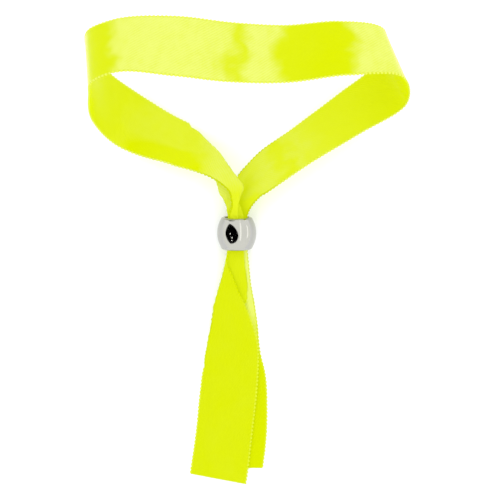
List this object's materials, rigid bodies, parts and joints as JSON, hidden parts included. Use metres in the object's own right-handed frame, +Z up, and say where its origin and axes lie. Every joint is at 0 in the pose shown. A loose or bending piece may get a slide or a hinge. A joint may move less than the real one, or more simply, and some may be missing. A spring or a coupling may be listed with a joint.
{
  "type": "ribbon wristband",
  "caption": "Satin ribbon wristband: both ends pass through a chrome slide bead that closes the loop, and leave it as flat, straight-cut tails.",
  "frame": {"origin": "on the table, under the middle of the whole wristband's box", "axes": "+Y along the bead's slide, from the tails to the loop; +X to the right, seen from above with the tails towards the viewer; +Z up"},
  "size_m": [0.0846, 0.1224, 0.0429],
  "materials": {
    "ribbon": "satin",
    "bead": "polished"
  },
  "bodies": {
    "ribbon": {"tail_front_end": "ribbon", "tail_front_root": "ribbon", "neck_left": "ribbon", "loop_leg_left": "ribbon", "loop_bend_left": "ribbon", "loop_band_left": "ribbon", "loop_band_right": "ribbon", "loop_bend_right": "ribbon", "loop_leg_right": "ribbon", "neck_right": "ribbon", "tail_back_root": "ribbon", "tail_back_end": "ribbon"},
    "bead": {"slide_bead": "bead"}
  },
  "joints": [
    {"name": "bead_slide", "type": "slide", "parent": "ribbon", "child": "bead", "axis": [0, 1, 0], "range_m": [-0.025, 0.008], "deforming": ["neck_left", "neck_right", "tail_front_root", "tail_back_root"]}
  ]
}
